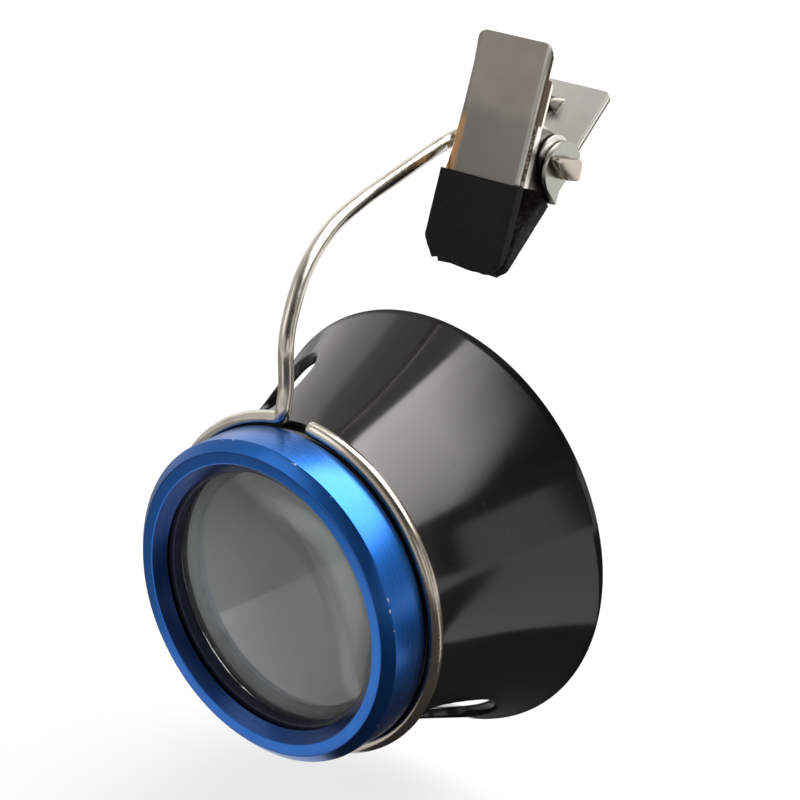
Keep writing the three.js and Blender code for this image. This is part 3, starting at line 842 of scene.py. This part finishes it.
def sweep(route, radius, sides):
    """Rings of points round a route, turned as little as possible from one to the next."""
    rings = []
    tangent = (route[1] - route[0]).normalized()
    side = tangent.orthogonal().normalized()
    for i, spot in enumerate(route):
        ahead = route[min(i + 1, len(route) - 1)] - route[max(i - 1, 0)]
        tangent = ahead.normalized()
        side = (side - tangent * side.dot(tangent)).normalized()
        other = tangent.cross(side)
        turns = [2 * pi * k / sides for k in range(sides)]
        rings.append([spot + (side * cos(turn) + other * sin(turn)) * radius for turn in turns])
    return rings


def rounded_end(rings, centre, depth):
    """Shrinking rings that round off the first end of a swept skin."""
    cap = []
    outward = (centre - sum(rings[1], Vector()) / len(rings[1])).normalized()
    for angle in (85, 65, 45, 25):
        turn = radians(angle)
        shift = outward * depth * sin(turn)
        cap.append([centre + (point - centre) * cos(turn) + shift for point in rings[0]])
    return cap + rings


def head_outline(sides):
    """Points round the flattened head, in (across, up) from the pin, at equal angles about its middle."""
    corners = [(HEAD_WIDTH * across, -HEAD_DROP * down, HEAD_FILLET) for across, down in HEAD_SHARES]
    outline = filleted(corners, 5)
    middle = sum(outline, Vector((0, 0))) / len(outline)
    found = []
    for k in range(sides):
        far = middle + Matrix.Rotation(2 * pi * k / sides, 2) @ Vector((HEAD_WIDTH, 0))
        hits = [intersect_line_line_2d(a, b, middle, far) for a, b in zip(outline, outline[1:] + outline[:1])]
        found.append(max((hit for hit in hits if hit), key=lambda hit: (hit - middle).length))
    return found


def make_wire():
    route = wire_route()
    rings = sweep(route, WIRE_RADIUS, WIRE_SIDES)
    points, faces = skin(rounded_end(rings, route[0], WIRE_RADIUS * WIRE_TIP_SHARE))
    centre = Vector((REAR_EAR_WIDTH / 2 - AXIS_ACROSS + SEAT_GAP, RING_REACH, AXIS_DROP))
    outline = head_outline(WIRE_SIDES * 2)
    tilt = Matrix.Rotation(-HEAD_TILT, 2)
    neck = 0.42
    stations = (
        (-SHEET - SEAT_GAP, neck), (-0.04 * MM, neck), (0, 0.93), (0.1 * MM, 1),
        (HEAD_THICKNESS * 0.6, 1), (HEAD_THICKNESS * 0.9, 0.98), (HEAD_THICKNESS, 0.9),
    )
    head = [[centre + Vector((out, *(tilt @ spot * size))) for spot in outline] for out, size in stations]
    head_points, head_faces = skin(head)
    faces += [tuple(index + len(points) for index in face) for face in head_faces]
    place = Matrix.Translation((AXIS_ACROSS, PIN.y - RING_REACH, PIN.z - AXIS_DROP))
    piece = as_object("wire_arm", points + head_points, faces, bright_wire(), 50, place)
    stand_in(piece, "wire_frame")


# Sheet metal: a flat pattern, folded at its sides, given its thickness and soft edges
def upright(pitch):
    """From a plate drawn upright about the pin to its place."""
    return Matrix.Translation(PIN) @ Matrix.Rotation(-pitch, 4, "X")


def arc(centre, radius, start, end, steps=10):
    turns = [start + (end - start) * k / steps for k in range(steps + 1)]
    return [(centre[0] + radius * cos(turn), centre[1] + radius * sin(turn)) for turn in turns]


class FoldedSheet:
    """A sheet in the local XZ plane. Above a given height its sides fold at a given half width, towards
    one side, by a share of a right angle that may depend on the height."""

    def __init__(
        self, face, towards, half_width, lowest, share=lambda height: 1, swell=lambda side, height: 0,
    ):
        self.middle = face + towards * SHEET / 2
        self.towards = towards
        self.start = half_width - SHEET / 2 - BEND_RADIUS
        self.lowest = lowest
        self.share = share
        self.swell = swell

    def unfold(self, depth):
        """How far from the middle the flat pattern reaches for a flange of this depth from the outer face."""
        return self.start + BEND_LENGTH + depth - SHEET / 2 - BEND_RADIUS

    def fold(self, across, height):
        side, far = copysign(1, across), abs(across)
        if far <= self.start or height < self.lowest:
            return Vector((across, self.middle, height))
        full = pi / 2 * self.share(height)
        radius = BEND_LENGTH / full
        turn = min((far - self.start) / radius, full)
        rest = max(far - self.start - BEND_LENGTH, 0)
        x = self.start + radius * sin(turn) + rest * cos(full)
        depth = radius * (1 - cos(turn)) + rest * sin(full)
        x += self.swell(side, height) * turn / full
        return Vector((side * x, self.middle + self.towards * depth, height))

    def lines(self):
        """Where the pattern is cut into strips, so that the fold is round."""
        cuts = [self.start + BEND_LENGTH * k / 6 for k in range(7)]
        return [side * cut for side in (-1, 1) for cut in cuts]


def cut_pattern(outline, holes, lines):
    """Fills an outline with faces, leaves its holes open, and cuts it along upright lines."""
    points, edges = [], []
    for loop in [outline, *holes]:
        first = len(points)
        points += [Vector(point) for point in loop]
        edges += [(first + k, first + (k + 1) % len(loop)) for k in range(len(loop))]
    spots, _, faces, *_ = delaunay_2d_cdt(points, edges, [], 5, 1e-9)
    made = bmesh.new()
    corners = [made.verts.new((spot.x, 0, spot.y)) for spot in spots]
    for face in faces:
        made.faces.new([corners[index] for index in face])
    for line in lines:
        parts = made.verts[:] + made.edges[:] + made.faces[:]
        bmesh.ops.bisect_plane(made, geom=parts, dist=1e-8, plane_co=(line, 0, 0), plane_no=(1, 0, 0))
    return made


def fold_sheet(label, sheet, half, holes, material, pitch):
    """Makes a plate from the right half of its flat outline, drawn upwards, and its holes."""
    outline = half + [(-x, z) for x, z in reversed(half)]
    pattern = cut_pattern(outline, holes, sheet.lines())
    for vertex in pattern.verts:
        vertex.co = sheet.fold(vertex.co.x, vertex.co.z)
    bmesh.ops.dissolve_limit(
        pattern, angle_limit=radians(0.5), verts=pattern.verts[:], edges=pattern.edges[:],
    )
    bmesh.ops.recalc_face_normals(pattern, faces=pattern.faces[:])
    mesh = bpy.data.meshes.new(label)
    pattern.to_mesh(mesh)
    pattern.free()
    mesh.transform(upright(pitch))
    piece = placed(f"{label}_plate", mesh)
    modify(piece, "SOLIDIFY", thickness=SHEET, offset=0, use_even_offset=True)
    modify(piece, "BEVEL", width=SHEET_EDGE, segments=2, angle_limit=radians(40))
    piece.data.shade_smooth()
    modify(piece, "WEIGHTED_NORMAL", weight=50, keep_sharp=True)
    piece.data.materials.append(material)
    stand_in(piece, f"{label}_clip_plate")


def pin_holes(sheet, depth_from_face):
    """The pin's hole in each ear, as loops in the flat pattern."""
    reach = sheet.unfold(depth_from_face)
    return [arc((side * reach, 0), PIN_BORE, 0, pi * 23 / 12, 23) for side in (-1, 1)]


def make_front_plate(material):
    notch = 0.1 * MM

    def fold_share(height):
        rise = min(max((height - FLANGE_TOP) / (FRONT_HANDLE - FLANGE_TOP), 0), 1)
        return 1 - (1 - HANDLE_FOLD_SHARE) * rise

    def swell(side, height):
        """The left ear is bent a little too wide, most of all at its foot."""
        down = min(max((EAR_SHOULDER - height) / (EAR_SHOULDER + FRONT_EAR_DROP), 0), 1)
        return EAR_SWELL * min(down * 3, 1) + EAR_FOOT_SWELL * down ** 6 if side < 0 else 0

    sheet = FoldedSheet(-FRONT_DEPTH, 1, FRONT_WIDTH / 2, -FRONT_EAR_DROP - notch / 2, fold_share, swell)
    slope = FRONT_SPLAY + REAR_SPLAY
    side_drop = FRONT_EAR_DROP - FRONT_EAR_RADIUS * sin(slope)
    corner = FRONT_EAR_RADIUS * cos(slope) - side_drop * tan(slope)
    rim = arc((0, 0), FRONT_EAR_RADIUS, -slope, pi / 2, 14)
    ear = [(sheet.unfold(y + FRONT_DEPTH), z) for y, z in rim]
    edge = sheet.unfold(FLANGE_DEPTH)
    chop = FLANGE_DEPTH / 2
    jaw, wide = JAW_WIDTH / 2, sheet.start + BEND_LENGTH
    round_corner = arc((wide - FRONT_CORNER, FRONT_HANDLE - FRONT_CORNER), FRONT_CORNER, 0, pi / 2)
    half = [
        (jaw, -FRONT_JAW),
        (jaw, -FRONT_EAR_DROP - notch),
        (sheet.start, -FRONT_EAR_DROP - notch),
        (sheet.start, -FRONT_EAR_DROP),
        (sheet.unfold(corner + FRONT_DEPTH), -FRONT_EAR_DROP),
        *ear,
        (edge, EAR_SHOULDER),
        *arc((edge - chop, FLANGE_TOP - chop), chop, 0, pi / 2, 6),
        (wide, FLANGE_TOP),
        *round_corner,
    ]
    fold_sheet("front", sheet, half, pin_holes(sheet, FRONT_DEPTH), material, FRONT_PITCH)


def make_rear_plate(material):
    bulge = sqrt(REAR_EAR_RADIUS ** 2 - (REAR_DEPTH - REAR_EAR_SETBACK) ** 2)
    top = bulge - REAR_EAR_SAG
    sheet = FoldedSheet(REAR_DEPTH, -1, REAR_EAR_WIDTH / 2, -REAR_EAR_BOTTOM)
    start = asin(bulge / REAR_EAR_RADIUS)
    rim = arc((REAR_EAR_SETBACK, -REAR_EAR_SAG), REAR_EAR_RADIUS, start, 3 * pi / 2, 24)
    near = REAR_DEPTH - SHEET / 2 - BEND_RADIUS
    ear = [(sheet.unfold(REAR_DEPTH - y), z) for y, z in reversed(rim) if y < near]
    jaw, wide = JAW_WIDTH / 2, REAR_WIDTH / 2
    round_corner = arc((wide - REAR_CORNER, REAR_HANDLE - REAR_CORNER), REAR_CORNER, 0, pi / 2)
    half = [
        (jaw, -REAR_JAW),
        (jaw, -REAR_EAR_BOTTOM),
        (sheet.start + BEND_LENGTH, -REAR_EAR_BOTTOM),
        *ear,
        (sheet.start + BEND_LENGTH / 2, top),
        (wide, top),
        *round_corner,
    ]
    holes = pin_holes(sheet, REAR_DEPTH)
    left, right = HOOD_OFFSET - HOOD_WIDTH / 2, HOOD_OFFSET + HOOD_WIDTH / 2
    holes.append(rectangle(left, right, HOOD_MOUTH, HOOD_MOUTH + SLOT_LENGTH, 0))
    fold_sheet("rear", sheet, half, holes, material, REAR_PITCH)


def make_hood(material):
    """The louvre: a strip raised from the rear plate, closed at its ends and open towards the pin."""
    across, along = 24, 10
    inner = REAR_DEPTH - SHEET
    points, rows = [], []
    for i in range(along + 1):
        height = HOOD_MOUTH + HOOD_LENGTH * i / along
        fall = cos(pi / 2 * (i / along) ** 1.6)
        rows.append(range(len(points), len(points) + across + 1))
        for k in range(across + 1):
            side = 2 * k / across - 1
            depth = inner - HOOD_RISE * (1 - abs(side) ** 5) * fall
            points.append(Vector((HOOD_OFFSET + side * HOOD_WIDTH / 2, depth, height)))
    piece = as_object("rear_plate_louvre", points, bands(rows, 1), material, place=upright(REAR_PITCH))
    modify(piece, "SOLIDIFY", thickness=SHEET * HOOD_SHARE, offset=-1)
    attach(piece, "clip_rear")


def make_washers(material):
    start = FRONT_WIDTH / 2 + WASHER_GAP
    end = REAR_EAR_WIDTH / 2 - SHEET - WASHER_GAP
    outline = rectangle(PIN_BORE, REAR_DEPTH - SHEET - WASHER_GAP, start, end, 0.06 * MM)
    for side, label in ((1, "right"), (-1, "left")):
        place = Matrix.Translation(PIN) @ Matrix.Rotation(-side * pi / 2, 4, "Z")
        piece = revolved(f"washer_{label}", outline, material, place, 64)
        stand_in(piece, f"hinge_washer_{label}")


# Rubber sleeves
def make_sleeve(label, face, inward, ear_bottom, jaw_end, tip, pitch, dust, inner_skin):
    """A pocket over the jaw: a loop round the sheet, pressed to a wedge at the tip, with a worn edge
    and cut corners."""
    skin_depth = POCKET_GAP + SLEEVE_WALL
    half = JAW_WIDTH / 2 + skin_depth
    outer = face - inward * skin_depth
    top, end = -ear_bottom - 0.02 * MM, -jaw_end - SLEEVE_OVERHANG
    slope = tan((FRONT_SPLAY + REAR_SPLAY) / 2)
    corner, rows, side_steps = SLEEVE_CORNER, 26, 20
    rings = []
    for i in range(rows + 1):
        share = i / rows
        height = top + (end - top) * share
        wedge = (tip + height) * slope - POCKET_GAP
        inner = face + inward * max(min(SHEET + inner_skin, wedge), 2 * corner - skin_depth)
        left = -half + LEFT_CUT_WIDTH * max(1 - (height - end) / LEFT_CUT_HEIGHT, 0)
        right = half - RIGHT_CUT_WIDTH * max(1 - (height - end) / RIGHT_CUT_HEIGHT, 0) ** 2
        loop = rectangle(left, right, outer, inner, corner)
        spots = []
        for k in range(0, len(loop), 5):
            bend, following = loop[k:k + 5], loop[(k + 5) % len(loop)]
            spots += bend + curve((bend[-1], following), side_steps)[1:]
        ring = []
        for spot in spots:
            point = Vector((spot.x, spot.y, height))
            rough = noise.noise(point / (0.9 * MM)) * SLEEVE_ROUGHNESS
            fray = abs(noise.noise(Vector((spot.x * 0.9, 0, spot.y * 0.6)) / MM)) * SLEEVE_ROUGHNESS * 6
            point.z += fray * share ** 6
            point.y -= inward * min(rough * 0.4, 0)
            ring.append(point)
        rings.append(ring)
    material = jaw_rubber(f"{label}_rubber", dust)
    piece = as_object(f"{label}_sleeve", *skin(rings), material, 50, upright(pitch))
    stand_in(piece, f"{label}_jaw_sleeve")


# Spring
def make_spring(material):
    """The coil on the pin and its two legs, which leave it as tangents."""
    stand = SPRING_WIRE / 2 + SEAT_GAP
    half = SPRING_LENGTH / 2
    front = Vector((half, SHEET - FRONT_DEPTH + stand, SPRING_FRONT_LEG))
    rear = Vector((HOOD_OFFSET, REAR_DEPTH - SHEET - stand, SPRING_REAR_LEG))
    front.rotate(Matrix.Rotation(-FRONT_PITCH, 3, "X"))
    rear.rotate(Matrix.Rotation(-REAR_PITCH, 3, "X"))

    def touch(end, side):
        reach = hypot(end.y, end.z)
        return atan2(end.z, end.y) + side * acos(SPRING_RADIUS / reach)

    start, stop = touch(front, 1), touch(rear, -1)
    sweep_angle = 2 * pi * SPRING_TURNS + (stop - start) % (2 * pi)
    steps = SPRING_TURNS * 40

    def coil(share):
        angle = start + sweep_angle * share
        x = half - SPRING_LENGTH * share
        return Vector((x, SPRING_RADIUS * cos(angle), SPRING_RADIUS * sin(angle)))

    def leg(foot, end, share):
        return Vector((foot.x + (end.x - foot.x) * share ** 2, *foot.lerp(end, share)[1:]))

    leg_steps = 16
    route = [leg(coil(0), front, 1 - k / leg_steps) for k in range(leg_steps)]
    route += [coil(k / steps) for k in range(steps + 1)]
    route += [leg(coil(1), rear, (k + 1) / leg_steps) for k in range(leg_steps)]
    coiled = skin(sweep(route, SPRING_WIRE / 2, 14))
    piece = as_object("clip_spring", *coiled, material, 50, Matrix.Translation(PIN))
    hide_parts("torsion_spring")
    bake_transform(piece)


# Studio
def make_camera():
    data = bpy.data.cameras.new("camera")
    data.lens = 135
    data.sensor_width = 36
    data.clip_end = 10
    camera = placed("camera", data)
    back = CAMERA_BACK.normalized()
    up = back.cross(CAMERA_RIGHT.normalized()).normalized()
    right = up.cross(back)
    turn = Matrix((right, up, back)).transposed().to_4x4()
    camera.matrix_world = Matrix.Translation(CAMERA_PLACE) @ turn
    bpy.context.scene.camera = camera


def make_floor():
    size, height = FLOOR_HALF, cad_bounds[0][2] - FLOOR_DROP
    points = [(x * size, y * size, height) for x, y in ((-1, -1), (1, -1), (1, 1), (-1, 1))]
    look = Finish("floor", Roughness=0.7)
    tone = look.noise(6, 2)
    look.set("Base Color", look.colours(tone, (0.82, 0.82, 0.82), (0.85, 0.85, 0.85)))
    glow = look.node("Emission", {"Color": (1, 1, 1, 1), "Strength": 1.0})
    path = look.node("LightPath").outputs
    seen = look.maths("MAXIMUM", path["Is Camera Ray"], path["Is Glossy Ray"])
    seen = look.maths("MAXIMUM", seen, path["Is Transmission Ray"])
    mixed = look.mix(look.times(seen, 0.75), look.shader.outputs[0], glow.outputs[0])
    look.connect(look.nodes["Material Output"].inputs["Surface"], mixed)
    as_object("floor", points, [(0, 1, 2, 3)], look.material)


def make_lamp(name, place, width, depth, radiance, colour=(1, 1, 1)):
    data = bpy.data.lights.new(name, "AREA")
    data.shape = "RECTANGLE"
    data.size, data.size_y = width, depth
    data.energy = radiance * pi * width * depth
    data.color = colour
    lamp = placed(name, data)
    lamp.location = STUDIO_MIDDLE + place
    return lamp


def shape_key(lamp):
    """Fades the soft box along its width and towards its near edge, and rounds off one corner."""
    lamp.data.use_nodes = True
    tree = Tree(lamp.data.node_tree)
    along, across, _ = tree.split(tree.node("NewGeometry").outputs["Parametric"])
    beyond = tree.maths("MAXIMUM", tree.maths("SUBTRACT", along, KEY_CORNER_START), 0)
    corner = tree.times(tree.maths("POWER", beyond, 2), KEY_CORNER_BEND)
    inside = tree.maths("SUBTRACT", across, corner)
    strength = tree.times(tree.spread(inside, -0.036, 0.122), tree.spread(inside, 0, 0.01))
    strength = tree.times(strength, tree.spread(along, 0, 1, 1.3, 0.45))
    tree.connect(tree.nodes["Emission"].inputs["Strength"], strength)


def make_flag(name, outline, dark, light):
    """A dark card beside the object and just below it, which only shiny surfaces show: painted shade in their
    reflection of the floor.
    """
    height = cad_bounds[0][2] - FLAG_DROP
    look = Finish(name, Roughness=0.9)
    look.set("Base Color", look.colours(look.noise(30, 2), dark, light))
    points = [(x, y, height) for x, y in outline]
    flag = as_object(name, points, [tuple(range(len(points)))], look.material)
    for ray in ("camera", "diffuse", "shadow", "transmission"):
        setattr(flag, f"visible_{ray}", False)


def make_world():
    """White for the camera. Shiny surfaces show a dim room with lit walls at its right and its left."""
    world = bpy.data.worlds.new("studio")
    bpy.context.scene.world = world
    world.use_nodes = True
    tree = Tree(world.node_tree)

    def ramp(value, low, high, to_low=0, to_high=1):
        return tree.spread(value, low, high, to_low, to_high, interpolation_type="SMOOTHSTEP")

    def band(value, start, full, fade, end):
        return tree.times(ramp(value, start, full), ramp(value, fade, end, 1, 0))

    def light(colour, strength):
        return tree.node("Background", {"Color": (*colour, 1), "Strength": strength}).outputs[0]

    across, depth, height = tree.split(tree.node("TexCoord").outputs["Generated"])
    bearing = tree.maths("ARCTAN2", across, tree.times(depth, -1))
    right = tree.maths("MAXIMUM", band(bearing, 1.56, 1.64, 1.85, 2.0), band(bearing, 0.8, 0.9, 1.3, 1.42))
    right = tree.times(right, ramp(height, 0.36, 0.44, 1, 0))
    left = band(bearing, -2.6, -2.4, -1.8, -1.6)
    left = tree.times(left, ramp(height, 0.54, 0.70, ROOM_SIDE, 0))
    front = ramp(bearing, 0.3, 0.55, ROOM_LEFT, ROOM_RIGHT)
    above = tree.times(ramp(height, 0.5, 0.6, 0, 0.6), ramp(bearing, -1.15, -1.0))
    front = tree.times(front, tree.maths("SUBTRACT", 1, above))
    behind = tree.maths("MAXIMUM", ramp(bearing, 2.0, 2.2), ramp(bearing, -2.6, -2.4, 1, 0))
    dome = tree.maths("ADD", front, tree.times(behind, tree.maths("SUBTRACT", ROOM_BEHIND, front)))
    shown = tree.maths("MAXIMUM", dome, tree.maths("MAXIMUM", right, left))
    path = tree.node("LightPath").outputs
    mirrored_ray = tree.maths("MAXIMUM", path["Is Glossy Ray"], path["Is Transmission Ray"])
    room = tree.mix(mirrored_ray, light(COOL_WHITE, ROOM_FILL), light(WARM_WHITE, shown))
    whole = tree.mix(path["Is Camera Ray"], room, light((1, 1, 1), 1))
    tree.connect(tree.nodes["World Output"].inputs["Surface"], whole)


make_camera()
make_floor()
make_world()
# The flags put painted shade into the floor's reflection: near black under and right of the object, grey to
# its left.
make_flag("right_flag", RIGHT_FLAG, (0.02, 0.02, 0.022), (0.04, 0.038, 0.036))
make_flag("left_flag", LEFT_FLAG, (0.2, 0.2, 0.2), (0.25, 0.25, 0.25))
shape_key(make_lamp("key", Vector((0.475, 0.62, 0.8)), KEY_WIDTH, KEY_DEPTH, 6, WARM_WHITE))
out, up = cos(FILL_RISE), sin(FILL_RISE)
fill_from = Vector((-out * sin(FILL_TURN), -out * cos(FILL_TURN), up))
fill = make_lamp("fill", fill_from * FILL_DISTANCE, FILL_SIDE, FILL_SIDE, 1.2)
fill.rotation_euler = (-fill_from).to_track_quat("-Z", "Y").to_euler()

rear_finish = rear_steel()
make_bezel()
make_lens()
make_retainer()
make_eyecup()
make_wire()
make_front_plate(front_steel())
make_rear_plate(rear_finish)
make_hood(rear_finish)
make_washers(rear_finish)
make_sleeve(
    "front", -FRONT_DEPTH, 1, FRONT_EAR_DROP, FRONT_JAW, FRONT_TIP, FRONT_PITCH, 0.2, FRONT_SLEEVE_INNER,
)
make_sleeve(
    "rear", REAR_DEPTH, -1, REAR_EAR_BOTTOM, REAR_JAW, REAR_TIP, REAR_PITCH, 1, POCKET_GAP + SLEEVE_WALL,
)
make_spring(spring_steel())

bpy.context.scene.view_settings.view_transform = "Standard"
